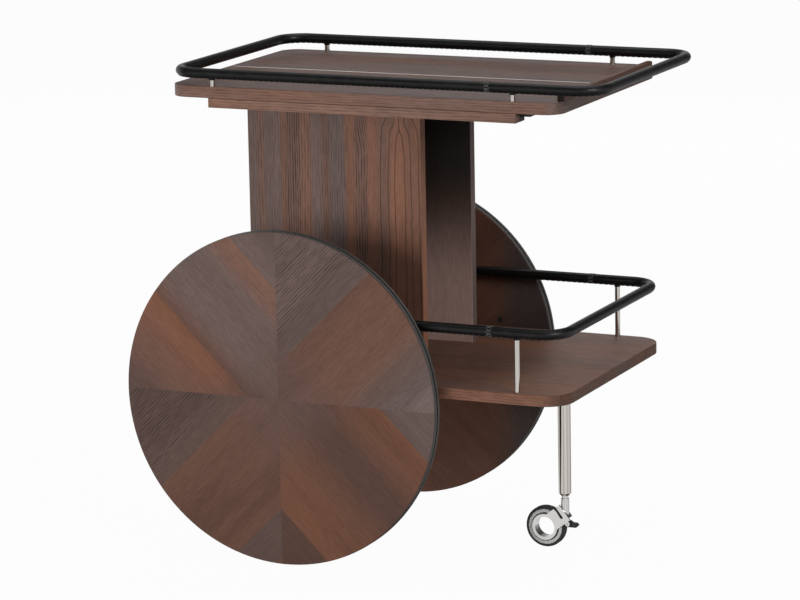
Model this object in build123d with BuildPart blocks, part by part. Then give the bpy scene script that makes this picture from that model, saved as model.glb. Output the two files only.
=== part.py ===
from build123d import *
import os

os.makedirs("parts", exist_ok=True)

# Bar cart on two large wheels and one swivel caster.
# X runs along the cart towards the push handle, Y towards the back, Z up.
# The origin is on the floor, under the middle of the overall length.

# Boards
board = 19.0
edge_round = 1.0
top_thickness = 20.0
top_length = 710.0
top_depth = 460.0
top_corner = 32.0
top_x = 0.0
shelf_depth = 478.0
shelf_left = -290.0
shelf_right = 362.0
shelf_corner = 48.0
column_left = -265.0
column_right = 59.0
column_depth = 229.0
column_height = 448.0
fascia_length = 560.0
fascia_height = 15.6
cross_rail_width = 60.0
cross_rail_drop = 1.0

# Dowels between the column boards
dowel_diameter = 8.0
dowel_depth = 10.0
dowel_inset = 40.0
dowel_gap = 0.05

# Sliding top
slide_travel = 200.0
slide_gap = 0.4
runner_width = 20.0
runner_wall = 2.0
runner_slot = 9.0
strip_height = 7.0
strip_overhang = 24.0
strip_bevel = 5.5
strip_tail = 30.0
shoe_length = 40.0
shoe_spacing = 180.0
stop_length = 6.0

# Upstand and inlay on the top
upstand_thickness = 12.0
upstand_height = 10.5
upstand_inset = 26.0
upstand_round = 3.0
inlay_width = 3.0
inlay_depth = 2.0
inlay_gap = 0.05

# Leather-wrapped rails
rail_diameter = 17.0
leather = 2.0
tube_wall = 1.4
rail_fit = 0.05
rail_corner = 45.0
rail_joint_x = 231.0
rail_joint_gap = 0.6
spigot_length = 40.0
rail_rise = 21.5
rail_side_inset = 5.0
rail_end_inset = 4.5
handle_reach = 67.0
lower_rail_rise = 100.0
lower_rail_side_inset = 9.0
lower_rail_end_inset = 8.0
lower_rail_left = -225.0
end_cap_length = 3.0

# Posts that carry the rails
post_diameter = 9.0
post_seat = 12.0
post_fit = 0.1
upper_post_x = 273.5
lower_post_x = 278.0
lower_post_left_x = -195.0
collar_height = 2.6
collar_flare = 1.6
collar_lip = 0.6

# Wheels and axle
wheel_diameter = 576.0
wheel_thickness = 22.0
wheel_gap = 7.5
wheel_cheek = 2.5
wheel_arris = 0.6
tyre_thickness = 4.0
tyre_proud = 0.8
tyre_fit = 0.05
tyre_groove_width = 5.0
tyre_groove_depth = 1.5
tyre_round = 1.0
axle_x = -142.5
axle_drop = 19.0
axle_diameter = 20.0
running_gap = 0.05
hub_flange_diameter = 100.0
hub_flange_thickness = 4.0
hub_boss_diameter = 44.0
hub_boss_length = 15.0
hub_seat_gap = 0.1
hub_floor_gap = 0.5
bush_diameter = 26.0
bush_length = 12.5
bush_fit = 0.05
clip_diameter = 25.0
clip_thickness = 1.2
clip_groove_depth = 1.2
clip_gap = 0.4
clip_fit = 0.05
clip_mouth = 9.0
axle_end = 0.9
spacer_diameter = 30.0
block_length = 40.0
block_width = 58.0
block_below = 20.0
block_setback = 7.0
block_round = 5.0
hub_screw_count = 6
hub_screw_circle = 76.0
plug_count = 3
plug_circle = 392.0
plug_angle = 14.0
plug_diameter = 8.0
plug_depth = 6.0
plug_head = 10.0
plug_head_height = 0.8
plug_fit = 0.1

# Screws
screw_diameter = 5.0
screw_head_diameter = 9.0
screw_head_height = 3.0
screw_length = 12.0
screw_fit = 0.1

# Leg under the shelf
leg_x = 268.0
leg_diameter = 22.0
leg_wall = 2.0
leg_flange_diameter = 72.0
leg_flange_thickness = 5.0
leg_screw_count = 3
leg_screw_circle = 52.0
leg_plug_length = 30.0
leg_plug_nose = 4.6
leg_plug_end_diameter = 15.0
leg_fit = 0.05

# Hubless swivel caster
caster_diameter = 72.0
caster_width = 14.0
caster_trail = 34.0
caster_hole_diameter = 36.0
caster_ring_wall = 5.0
caster_rim_wall = 5.5
caster_side_gap = 0.6
caster_arm_thickness = 3.0
caster_arm_width = 32.0
caster_arm_angle = 38.0
caster_bridge = 8.0
caster_bridge_width = 24.0
caster_tyre_gap = 3.0
caster_tyre_round = 3.0
caster_fit = 0.05
caster_slot_height = 5.0
caster_slot_width = 22.0
retainer_thickness = 1.5
retainer_reach = 2.0
stem_housing_diameter = 14.5
stem_housing_rise = 52.0
stem_housing_foot = 18.0
stem_diameter = 8.0
stem_depth = 24.0
stem_neck = 5.0
stem_neck_diameter = 11.5
stem_gap = 0.3

# Brake lever on the caster
brake_pin_diameter = 3.0
brake_pin_out = 6.0
brake_pin_up = 9.0
brake_boss_radius = 4.2
brake_lever_width = 9.0
brake_lever_length = 17.0
brake_lever_height = 11.0
brake_lever_below = 7.0
brake_paddle_height = 7.5
brake_nose_gap = 1.7
brake_nose_height = 3.0
brake_room = 1.2

# Heights that follow from the sizes above
wheel_radius = wheel_diameter / 2
axle_z = wheel_radius
shelf_bottom = axle_z + axle_drop
shelf_top = shelf_bottom + board
column_top = shelf_top + column_height
top_bottom = column_top + fascia_height + slide_gap
top_top = top_bottom + top_thickness
rail_z = top_top + rail_rise
lower_rail_z = shelf_top + lower_rail_rise

# Places that follow from the sizes above
top_left = top_x - top_length / 2
top_right = top_x + top_length / 2
top_half = top_depth / 2
shelf_half = shelf_depth / 2
column_half = column_depth / 2
fascia_inner = top_half - board
runner_inner = fascia_inner - runner_width
runner_middle = fascia_inner - runner_width / 2
fascia_right = top_x + fascia_length / 2
fascia_left = top_x - fascia_length / 2
strip_bottom = top_bottom - strip_height
runner_height = fascia_height - strip_height
cross_rail_thickness = fascia_height - cross_rail_drop
strip_right = fascia_right + strip_overhang
shoe_right_x = fascia_right - stop_length - slide_gap - slide_travel - shoe_length / 2
shoe_left_x = shoe_right_x - shoe_spacing
strip_left = shoe_left_x - shoe_length / 2 - strip_tail
upstand_inner_x = top_right - upstand_thickness
rail_radius = rail_diameter / 2
tube_radius = rail_radius - leather - rail_fit
tube_bore = tube_radius - tube_wall
rail_y = top_half - rail_side_inset
rail_left_x = top_left + rail_end_inset
rail_right_x = top_right + handle_reach
lower_rail_y = shelf_half - lower_rail_side_inset
lower_rail_right_x = shelf_right - lower_rail_end_inset
post_radius = post_diameter / 2
wheel_inner = shelf_half + wheel_gap
tyre_width = wheel_thickness - 2 * wheel_cheek
block_outer = shelf_half - block_setback
clip_start = bush_length + clip_gap
axle_half = wheel_inner + clip_start + clip_thickness + axle_end
caster_radius = caster_diameter / 2
caster_x = leg_x - caster_trail
caster_z = caster_radius
caster_half = caster_width / 2
caster_ring_radius = caster_hole_diameter / 2 + caster_ring_wall
caster_rim_radius = caster_ring_radius + running_gap + caster_rim_wall
arm_front = caster_half + caster_side_gap + caster_arm_thickness
arm_back = caster_half + caster_side_gap
bridge_start = caster_radius + caster_tyre_gap
bridge_end = bridge_start + caster_bridge
slot_up = (caster_arm_width - caster_slot_width) / 2
housing_top = caster_z + stem_housing_rise
leg_bottom = housing_top + stem_gap + stem_neck
tube_bottom = leg_bottom + leg_plug_nose
flange_bottom = shelf_bottom - leg_flange_thickness
brake_pin_x = caster_radius + brake_pin_out


def keep(piece, name):
    """Name a finished piece and write it."""
    piece.part.label = name
    export_step(piece.part, f"parts/{name}.step")


def outward(distance, side):
    """Plane square to the axle, facing away from the cart's middle."""
    return Plane(origin=(axle_x, side * distance, axle_z), x_dir=(-side, 0, 0), z_dir=(0, side, 0))


def caster_plane(y):
    """Plane square to the caster's axis, facing the front."""
    return Plane(origin=(caster_x, y, caster_z), x_dir=(1, 0, 0), z_dir=(0, -1, 0))


SIDES = {"front": -1, "back": 1}
upper_posts_at = [(x, s * rail_y) for x in (top_x - upper_post_x, top_x + upper_post_x) for s in (-1, 1)]
lower_posts_at = [(x, s * lower_rail_y) for x in (lower_post_left_x, lower_post_x) for s in (-1, 1)]
panel_dowels_x = (column_left + dowel_inset, column_right - dowel_inset)
rail_dowels_x = (column_left + cross_rail_width / 2, column_right - cross_rail_width / 2)
panel_middle = column_half - board / 2
dowels_low = [(x, s * panel_middle) for x in panel_dowels_x for s in (-1, 1)]
dowels_high = [(x, s * panel_middle) for x in rail_dowels_x for s in (-1, 1)]
dowel_hole = dowel_diameter / 2 + dowel_gap
block_middle = block_outer - block_length / 2
block_screw_x = block_width / 2 - screw_head_diameter
block_screws_at = [
    (axle_x + i * block_screw_x, s * block_middle)
    for i in (-1, 1)
    for s in (-1, 1)
]
screw_hole = screw_diameter / 2 + screw_fit

# Shelf with its post seats, dowel holes and screw holes
with BuildPart() as shelf:
    with BuildSketch(Plane.XY.offset(shelf_bottom)):
        with Locations(((shelf_left + shelf_right) / 2, 0)):
            RectangleRounded(shelf_right - shelf_left, shelf_depth, shelf_corner)
    extrude(amount=board)
    fillet(shelf.edges().group_by(Axis.Z)[0] + shelf.edges().group_by(Axis.Z)[-1], edge_round)
    with BuildSketch(Plane.XY.offset(shelf_top)):
        with Locations(*lower_posts_at):
            Circle(post_radius + post_fit)
    extrude(amount=-post_seat, mode=Mode.SUBTRACT)
    with BuildSketch(Plane.XY.offset(shelf_top)):
        with Locations(*dowels_low):
            Circle(dowel_hole)
    extrude(amount=-dowel_depth, mode=Mode.SUBTRACT)
    with BuildSketch(Plane.XY.offset(shelf_bottom)):
        with Locations(*block_screws_at):
            Circle(screw_hole)
        with Locations((leg_x, 0)):
            with PolarLocations(leg_screw_circle / 2, leg_screw_count):
                Circle(screw_hole)
    extrude(amount=screw_length, mode=Mode.SUBTRACT)
keep(shelf, "shelf")

# Front and back panels of the column, and the panel that closes its left end
for side_name, side in SIDES.items():
    with BuildPart() as panel:
        with BuildSketch(Plane.XY.offset(shelf_top)):
            with Locations(((column_left + column_right) / 2, side * panel_middle)):
                Rectangle(column_right - column_left, board)
        extrude(amount=column_height)
        fillet(panel.edges().filter_by(Axis.Z), edge_round)
        with BuildSketch(Plane.XY.offset(shelf_top)):
            with Locations(*[p for p in dowels_low if p[1] * side > 0]):
                Circle(dowel_hole)
        extrude(amount=dowel_depth, mode=Mode.SUBTRACT)
        with BuildSketch(Plane.XY.offset(column_top)):
            with Locations(*[p for p in dowels_high if p[1] * side > 0]):
                Circle(dowel_hole)
        extrude(amount=-dowel_depth, mode=Mode.SUBTRACT)
    keep(panel, f"{side_name}_panel")

with BuildPart() as left_panel:
    with BuildSketch(Plane.XY.offset(shelf_top)):
        with Locations((column_left + edge_round + board / 2, 0)):
            Rectangle(board, column_depth - 2 * board)
    extrude(amount=column_height)
keep(left_panel, "left_panel")

# Cross rails on the column, between the runners
for rail_name, x in zip(("left_cross_rail", "right_cross_rail"), rail_dowels_x):
    with BuildPart() as cross_rail:
        with BuildSketch(Plane.XY.offset(column_top)):
            with Locations((x, 0)):
                Rectangle(cross_rail_width, 2 * runner_inner)
        extrude(amount=cross_rail_thickness)
        with BuildSketch(Plane.XY.offset(column_top)):
            with Locations(*[p for p in dowels_high if p[0] == x]):
                Circle(dowel_hole)
        extrude(amount=dowel_depth, mode=Mode.SUBTRACT)
    keep(cross_rail, rail_name)

# Dowels
with BuildPart() as column_dowels:
    with BuildSketch(Plane.XY.offset(shelf_top - dowel_depth + dowel_gap)):
        with Locations(*dowels_low):
            Circle(dowel_diameter / 2)
    extrude(amount=2 * (dowel_depth - dowel_gap))
    with BuildSketch(Plane.XY.offset(column_top - dowel_depth + dowel_gap)):
        with Locations(*dowels_high):
            Circle(dowel_diameter / 2)
    extrude(amount=2 * (dowel_depth - dowel_gap))
keep(column_dowels, "column_dowels")

# Fascias, and the slotted runners behind them
for side_name, side in SIDES.items():
    with BuildPart() as fascia:
        with BuildSketch(Plane.XY.offset(column_top)):
            with Locations((top_x, side * (top_half - board / 2))):
                Rectangle(fascia_length, board)
        extrude(amount=fascia_height)
        fillet(fascia.edges().filter_by(Axis.Z), edge_round)
    keep(fascia, f"{side_name}_fascia")

    with BuildPart() as runner:
        with BuildSketch(Plane.YZ.offset(fascia_left)):
            with Locations((side * runner_middle, column_top + runner_height / 2)):
                Rectangle(runner_width, runner_height)
                Rectangle(
                    runner_width - 2 * runner_wall,
                    runner_height - 2 * runner_wall,
                    mode=Mode.SUBTRACT,
                )
            with Locations((side * runner_middle, column_top + runner_height - runner_wall / 2)):
                Rectangle(runner_slot, runner_wall, mode=Mode.SUBTRACT)
        extrude(amount=fascia_length)
    keep(runner, f"{side_name}_runner")

# Stops that close the runners at both ends of the slide
stop_height = runner_height - 2 * runner_wall
stop_right_x = fascia_right - stop_length / 2
stop_left_x = shoe_left_x - shoe_length / 2 - slide_gap - stop_length / 2
with BuildPart() as runner_stops:
    with BuildSketch(Plane.XY.offset(column_top + runner_wall)):
        with Locations(*[(x, s * runner_middle) for x in (stop_left_x, stop_right_x) for s in (-1, 1)]):
            Rectangle(stop_length, runner_width - 2 * runner_wall)
    extrude(amount=stop_height)
keep(runner_stops, "runner_stops")

# Top board with its inlay groove and post seats
with BuildPart() as top_board:
    with BuildSketch(Plane.XY.offset(top_bottom)):
        with Locations((top_x, 0)):
            RectangleRounded(top_length, top_depth, top_corner)
    extrude(amount=top_thickness)
    fillet(top_board.edges().group_by(Axis.Z)[0] + top_board.edges().group_by(Axis.Z)[-1], edge_round)
    with BuildSketch(Plane.XY.offset(top_top)):
        with Locations(((top_left + upstand_inner_x) / 2, 0)):
            Rectangle(upstand_inner_x - top_left, inlay_width + 2 * inlay_gap)
    extrude(amount=-inlay_depth - inlay_gap, mode=Mode.SUBTRACT)
    with BuildSketch(Plane.XY.offset(top_top)):
        with Locations(*upper_posts_at):
            Circle(post_radius + post_fit)
    extrude(amount=-post_seat, mode=Mode.SUBTRACT)
keep(top_board, "top_board")

with BuildPart() as centre_inlay:
    with BuildSketch(Plane.XY.offset(top_top - inlay_depth)):
        with Locations(((top_left + edge_round + upstand_inner_x) / 2, 0)):
            Rectangle(upstand_inner_x - top_left - edge_round - inlay_gap, inlay_width)
    extrude(amount=inlay_depth)
keep(centre_inlay, "centre_inlay")

with BuildPart() as end_upstand:
    with BuildSketch(Plane.XY.offset(top_top)):
        with Locations((upstand_inner_x + upstand_thickness / 2, 0)):
            Rectangle(upstand_thickness, top_depth - 2 * upstand_inset)
    extrude(amount=upstand_height)
    fillet(end_upstand.edges().group_by(Axis.Z)[-1].filter_by(Axis.Y), upstand_round)
    fillet(end_upstand.edges().group_by(Axis.Z)[-1].filter_by(Axis.X), edge_round)
keep(end_upstand, "end_upstand")

# Slide strips under the top, bevelled at the end that shows
for side_name, side in SIDES.items():
    with BuildPart() as strip:
        with BuildSketch(Plane.XY.offset(strip_bottom)):
            with Locations(((strip_left + strip_right) / 2, side * runner_middle)):
                Rectangle(strip_right - strip_left, runner_width)
        extrude(amount=strip_height)
        chamfer(strip.edges().group_by(Axis.Z)[0].sort_by(Axis.X)[-1], strip_bevel)
    keep(strip, f"{side_name}_slide_strip")

# Shoes that hang from the strips and run in the runners
shoe_width = runner_width - 2 * runner_wall - 2 * slide_gap
shoe_bottom = column_top + runner_wall + slide_gap
shoe_body = runner_height - 2 * runner_wall - 2 * slide_gap
shoes_at = [(x, s * runner_middle) for x in (shoe_left_x, shoe_right_x) for s in (-1, 1)]
with BuildPart() as slide_shoes:
    with BuildSketch(Plane.XY.offset(shoe_bottom)):
        with Locations(*shoes_at):
            Rectangle(shoe_length, shoe_width)
    extrude(amount=shoe_body)
    with BuildSketch(Plane.XY.offset(shoe_bottom + shoe_body)):
        with Locations(*shoes_at):
            Rectangle(shoe_length, runner_slot - 2 * slide_gap)
    extrude(amount=strip_bottom - shoe_bottom - shoe_body)
keep(slide_shoes, "slide_shoes")


def rail_sweep(points, height, outer, inner):
    """Tube of two radii along a bent rail, corner points rounded by the rail's bend."""
    with BuildPart() as tube:
        with BuildLine(Plane.XY.offset(height)) as path:
            FilletPolyline(*points, radius=rail_corner)
        with BuildSketch(Plane(origin=path.line @ 0, z_dir=path.line % 0)):
            Circle(outer)
            Circle(inner, mode=Mode.SUBTRACT)
        sweep(path=path.line)
    return tube


def drill_posts(tube, places, height):
    """Leather with a hole below for each post that it sits on."""
    with BuildPart() as drilled:
        add(tube.part)
        with BuildSketch(Plane.XY.offset(height - rail_diameter)):
            with Locations(*places):
                Circle(post_radius + post_fit)
        extrude(amount=rail_diameter, mode=Mode.SUBTRACT)
    return drilled


# Upper rail: two bent tubes joined by spigots, each in its own leather
half_joint = rail_joint_gap / 2
main_bend = [
    (rail_joint_x - half_joint, -rail_y),
    (rail_left_x, -rail_y),
    (rail_left_x, rail_y),
    (rail_joint_x - half_joint, rail_y),
]
handle_bend = [
    (rail_joint_x + half_joint, -rail_y),
    (rail_right_x, -rail_y),
    (rail_right_x, rail_y),
    (rail_joint_x + half_joint, rail_y),
]
leather_bore = rail_radius - leather
for part_name, bend in (("main", main_bend), ("handle", handle_bend)):
    upper_tube = rail_sweep(bend, rail_z, tube_radius, tube_bore)
    keep(upper_tube, f"upper_tube_{part_name}")
    upper_leather = rail_sweep(bend, rail_z, rail_radius, leather_bore)
    seats = [p for p in upper_posts_at if (p[0] > rail_joint_x) == (part_name == "handle")]
    upper_leather = drill_posts(upper_leather, seats, rail_z)
    keep(upper_leather, f"upper_leather_{part_name}")

# Lower rail: one bent tube in three lengths of leather
lower_bend = [
    (lower_rail_left, -lower_rail_y),
    (lower_rail_right_x, -lower_rail_y),
    (lower_rail_right_x, lower_rail_y),
    (lower_rail_left, lower_rail_y),
]
lower_tube = rail_sweep(lower_bend, lower_rail_z, tube_radius, tube_bore)
keep(lower_tube, "lower_tube")

end_bend = [
    (rail_joint_x + half_joint, -lower_rail_y),
    (lower_rail_right_x, -lower_rail_y),
    (lower_rail_right_x, lower_rail_y),
    (rail_joint_x + half_joint, lower_rail_y),
]
lower_leather_end = rail_sweep(end_bend, lower_rail_z, rail_radius, leather_bore)
lower_leather_end = drill_posts(
    lower_leather_end, [p for p in lower_posts_at if p[0] > rail_joint_x], lower_rail_z
)
keep(lower_leather_end, "lower_leather_end")

for side_name, side in SIDES.items():
    with BuildPart() as lower_leather:
        with BuildSketch(Plane.YZ.offset(lower_rail_left)):
            with Locations((side * lower_rail_y, lower_rail_z)):
                Circle(rail_radius)
                Circle(leather_bore, mode=Mode.SUBTRACT)
        extrude(amount=rail_joint_x - half_joint - lower_rail_left)
    near = [p for p in lower_posts_at if p[0] < rail_joint_x and p[1] * side > 0]
    lower_leather = drill_posts(lower_leather, near, lower_rail_z)
    keep(lower_leather, f"lower_leather_{side_name}")

# Caps on the two open ends of the lower rail
with BuildPart() as lower_end_caps:
    with BuildSketch(Plane.YZ.offset(lower_rail_left)):
        with Locations(*[(s * lower_rail_y, lower_rail_z) for s in (-1, 1)]):
            Circle(rail_radius)
    extrude(amount=-end_cap_length)
    fillet(lower_end_caps.edges().group_by(Axis.X)[0], edge_round)
keep(lower_end_caps, "lower_end_caps")

# Spigots inside the joints of the upper rail
with BuildPart() as upper_spigots:
    with BuildSketch(Plane.YZ.offset(rail_joint_x - spigot_length / 2)):
        with Locations(*[(s * rail_y, rail_z) for s in (-1, 1)]):
            Circle(tube_bore - rail_fit)
    extrude(amount=spigot_length)
keep(upper_spigots, "upper_spigots")


def posts_and_collars(places, seat_top, height, name):
    """Posts from their seats up to the rail tube, and the collars under the rail."""
    with BuildPart() as posts:
        with BuildSketch(Plane.XY.offset(seat_top - post_seat)):
            with Locations(*places):
                Circle(post_radius)
        extrude(amount=height - tube_radius - rail_fit - seat_top + post_seat)
    keep(posts, f"{name}_posts")

    collar_bottom = height - rail_radius - collar_height
    with BuildPart(Plane.XY.offset(collar_bottom)) as collars:
        with Locations(*places):
            Cone(
                post_radius + collar_lip,
                post_radius + collar_flare,
                collar_height + leather,
                align=(Align.CENTER, Align.CENTER, Align.MIN),
            )
        with BuildSketch(Plane.XY.offset(collar_bottom)):
            with Locations(*places):
                Circle(post_radius + post_fit)
        extrude(amount=rail_diameter, mode=Mode.SUBTRACT)
        with BuildSketch(Plane.YZ.offset(rail_left_x)):
            with Locations(*[(s * abs(places[0][1]), height) for s in (-1, 1)]):
                Circle(rail_radius + rail_fit)
        extrude(amount=rail_right_x - rail_left_x, mode=Mode.SUBTRACT)
    keep(collars, f"{name}_collars")


posts_and_collars(upper_posts_at, top_top, rail_z, "upper")
posts_and_collars(lower_posts_at, shelf_top, lower_rail_z, "lower")

# Axle with a clip groove near each end
groove_start = wheel_inner + clip_start
with BuildPart() as axle:
    with BuildSketch(outward(-axle_half, 1)):
        Circle(axle_diameter / 2)
    extrude(amount=2 * axle_half)
    for side in SIDES.values():
        with BuildSketch(outward(groove_start - clip_fit, side)):
            Circle(axle_diameter / 2)
            Circle(axle_diameter / 2 - clip_groove_depth, mode=Mode.SUBTRACT)
        extrude(amount=clip_thickness + 2 * clip_fit, mode=Mode.SUBTRACT)
keep(axle, "axle")

with BuildPart() as axle_clips:
    for side in SIDES.values():
        with BuildSketch(outward(groove_start, side)):
            Circle(clip_diameter / 2)
            Circle(axle_diameter / 2 - clip_groove_depth + clip_fit, mode=Mode.SUBTRACT)
            with Locations((0, -clip_diameter / 2)):
                Rectangle(clip_mouth, clip_diameter, mode=Mode.SUBTRACT)
        extrude(amount=clip_thickness)
keep(axle_clips, "axle_clips")

with BuildPart() as axle_spacers:
    for side in SIDES.values():
        with BuildSketch(outward(block_outer, side)):
            Circle(spacer_diameter / 2)
            Circle(axle_diameter / 2 + running_gap, mode=Mode.SUBTRACT)
        extrude(amount=wheel_inner - block_outer - clip_gap)
keep(axle_spacers, "axle_spacers")

# Blocks that hold the axle under the shelf
for side_name, side in SIDES.items():
    with BuildPart() as block:
        with BuildSketch(outward(block_outer - block_length, side)):
            with Locations((0, (axle_drop - block_below) / 2)):
                Rectangle(block_width, axle_drop + block_below)
            Circle(axle_diameter / 2 + running_gap, mode=Mode.SUBTRACT)
        extrude(amount=block_length)
        fillet(block.edges().filter_by(Axis.Y).group_by(Axis.Z)[0], block_round)
        with BuildSketch(Plane.XY.offset(axle_z - block_below)):
            with Locations(*[p for p in block_screws_at if p[1] * side > 0]):
                Circle(screw_hole)
        extrude(amount=axle_drop + block_below, mode=Mode.SUBTRACT)
    keep(block, f"{side_name}_axle_block")

# Screws up into the shelf, through the axle blocks and the leg's flange
leg_screws_at = [
    (leg_x + place.position.X, place.position.Y)
    for place in PolarLocations(leg_screw_circle / 2, leg_screw_count).local_locations
]
block_head_z = axle_z - block_below
with BuildPart() as underside_screws:
    for places, head_z in ((block_screws_at, block_head_z), (leg_screws_at, flange_bottom)):
        with BuildSketch(Plane.XY.offset(head_z - screw_head_height)):
            with Locations(*places):
                Circle(screw_head_diameter / 2)
        extrude(amount=screw_head_height)
        with BuildSketch(Plane.XY.offset(head_z)):
            with Locations(*places):
                Circle(screw_diameter / 2)
        extrude(amount=shelf_bottom - head_z + screw_length - screw_fit)
keep(underside_screws, "underside_screws")

# Wheels: disc, tyre let into its edge, hub, bush, hub screws and cover plugs
disc_radius = wheel_radius - tyre_proud
channel_radius = wheel_radius - tyre_thickness - tyre_fit
for side_name, side in SIDES.items():
    face = outward(wheel_inner, side)
    plug_start = 90 + side * (90 - plug_angle)
    with BuildPart() as disc:
        with BuildSketch(face):
            Circle(disc_radius)
        extrude(amount=wheel_thickness)
        fillet(disc.edges().filter_by(GeomType.CIRCLE), wheel_arris)
        with BuildSketch(outward(wheel_inner + wheel_cheek - tyre_fit, side)):
            Circle(wheel_radius)
            Circle(channel_radius, mode=Mode.SUBTRACT)
        extrude(amount=tyre_width + 2 * tyre_fit, mode=Mode.SUBTRACT)
        with BuildSketch(face):
            Circle(hub_flange_diameter / 2 + hub_seat_gap)
        extrude(amount=hub_flange_thickness, mode=Mode.SUBTRACT)
        with BuildSketch(face):
            Circle(hub_boss_diameter / 2 + hub_seat_gap)
        extrude(amount=hub_boss_length + hub_floor_gap, mode=Mode.SUBTRACT)
        with BuildSketch(face):
            with PolarLocations(hub_screw_circle / 2, hub_screw_count):
                Circle(screw_hole)
        extrude(amount=hub_flange_thickness + screw_length, mode=Mode.SUBTRACT)
        with BuildSketch(face):
            with PolarLocations(plug_circle / 2, plug_count, start_angle=plug_start):
                Circle(plug_diameter / 2 + plug_fit)
        extrude(amount=plug_depth, mode=Mode.SUBTRACT)
    keep(disc, f"{side_name}_wheel_disc")

    with BuildPart() as tyre:
        with BuildSketch(outward(wheel_inner + wheel_cheek, side)):
            Circle(wheel_radius)
            Circle(wheel_radius - tyre_thickness, mode=Mode.SUBTRACT)
        extrude(amount=tyre_width)
        rims = tyre.edges().filter_by(GeomType.CIRCLE).group_by(SortBy.RADIUS)[-1]
        fillet(rims, tyre_round)
        with BuildSketch(outward(wheel_inner + (wheel_thickness - tyre_groove_width) / 2, side)):
            Circle(wheel_radius)
            Circle(wheel_radius - tyre_groove_depth, mode=Mode.SUBTRACT)
        extrude(amount=tyre_groove_width, mode=Mode.SUBTRACT)
    keep(tyre, f"{side_name}_wheel_tyre")

    with BuildPart() as hub:
        with BuildSketch(face):
            Circle(hub_flange_diameter / 2)
        extrude(amount=hub_flange_thickness)
        with BuildSketch(face):
            Circle(hub_boss_diameter / 2)
        extrude(amount=hub_boss_length)
        with BuildSketch(face):
            Circle(bush_diameter / 2 + bush_fit)
        extrude(amount=hub_boss_length, mode=Mode.SUBTRACT)
        with BuildSketch(face):
            with PolarLocations(hub_screw_circle / 2, hub_screw_count):
                Circle(screw_hole)
        extrude(amount=hub_flange_thickness, mode=Mode.SUBTRACT)
        with BuildSketch(face):
            with PolarLocations(hub_screw_circle / 2, hub_screw_count):
                Circle(screw_head_diameter / 2 + screw_fit)
        extrude(amount=screw_head_height, mode=Mode.SUBTRACT)
    keep(hub, f"{side_name}_wheel_hub")

    with BuildPart() as bush:
        with BuildSketch(face):
            Circle(bush_diameter / 2)
            Circle(axle_diameter / 2 + running_gap, mode=Mode.SUBTRACT)
        extrude(amount=bush_length)
    keep(bush, f"{side_name}_hub_bush")

    with BuildPart() as hub_screws:
        with BuildSketch(face):
            with PolarLocations(hub_screw_circle / 2, hub_screw_count):
                Circle(screw_head_diameter / 2)
        extrude(amount=screw_head_height)
        with BuildSketch(outward(wheel_inner + screw_head_height, side)):
            with PolarLocations(hub_screw_circle / 2, hub_screw_count):
                Circle(screw_diameter / 2)
        extrude(amount=screw_length)
    keep(hub_screws, f"{side_name}_hub_screws")

    with BuildPart() as plugs:
        with BuildSketch(face):
            with PolarLocations(plug_circle / 2, plug_count, start_angle=plug_start):
                Circle(plug_diameter / 2)
        extrude(amount=plug_depth - plug_fit)
        with BuildSketch(face):
            with PolarLocations(plug_circle / 2, plug_count, start_angle=plug_start):
                Circle(plug_head / 2)
        extrude(amount=-plug_head_height)
    keep(plugs, f"{side_name}_wheel_plugs")

# Leg: flange under the shelf, tube and the nosed plug in its foot
with BuildPart() as leg_flange:
    with BuildSketch(Plane.XY.offset(flange_bottom)):
        with Locations((leg_x, 0)):
            Circle(leg_flange_diameter / 2)
            with PolarLocations(leg_screw_circle / 2, leg_screw_count):
                Circle(screw_hole, mode=Mode.SUBTRACT)
    extrude(amount=leg_flange_thickness)
    flange_rims = leg_flange.edges().filter_by(GeomType.CIRCLE).group_by(SortBy.RADIUS)[-1]
    fillet(flange_rims.sort_by(Axis.Z)[0], edge_round)
keep(leg_flange, "leg_flange")

leg_bore = leg_diameter / 2 - leg_wall
with BuildPart() as leg_tube:
    with BuildSketch(Plane.XY.offset(tube_bottom)):
        with Locations((leg_x, 0)):
            Circle(leg_diameter / 2)
            Circle(leg_bore, mode=Mode.SUBTRACT)
    extrude(amount=flange_bottom - tube_bottom)
keep(leg_tube, "leg_tube")

with BuildPart() as leg_plug:
    with BuildSketch(Plane.XY.offset(leg_bottom)):
        with Locations((leg_x, 0)):
            Circle(leg_plug_end_diameter / 2)
    with BuildSketch(Plane.XY.offset(tube_bottom)):
        with Locations((leg_x, 0)):
            Circle(leg_diameter / 2)
    loft()
    with BuildSketch(Plane.XY.offset(tube_bottom)):
        with Locations((leg_x, 0)):
            Circle(leg_bore - leg_fit)
    extrude(amount=leg_plug_length)
    with BuildSketch(Plane.XY.offset(leg_bottom)):
        with Locations((leg_x, 0)):
            Circle(stem_diameter / 2 + leg_fit)
    extrude(amount=leg_plug_nose + leg_plug_length, mode=Mode.SUBTRACT)
keep(leg_plug, "leg_plug")

# Stem that the caster swivels on, fixed in the leg's plug
with BuildPart() as caster_stem:
    with BuildSketch(Plane.XY.offset(housing_top + stem_gap)):
        with Locations((leg_x, 0)):
            Circle(stem_neck_diameter / 2)
    extrude(amount=stem_neck)
    with BuildSketch(Plane.XY.offset(housing_top - stem_depth + stem_gap)):
        with Locations((leg_x, 0)):
            Circle(stem_diameter / 2)
    extrude(amount=stem_depth + stem_neck + leg_plug_length)
keep(caster_stem, "caster_stem")

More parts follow.
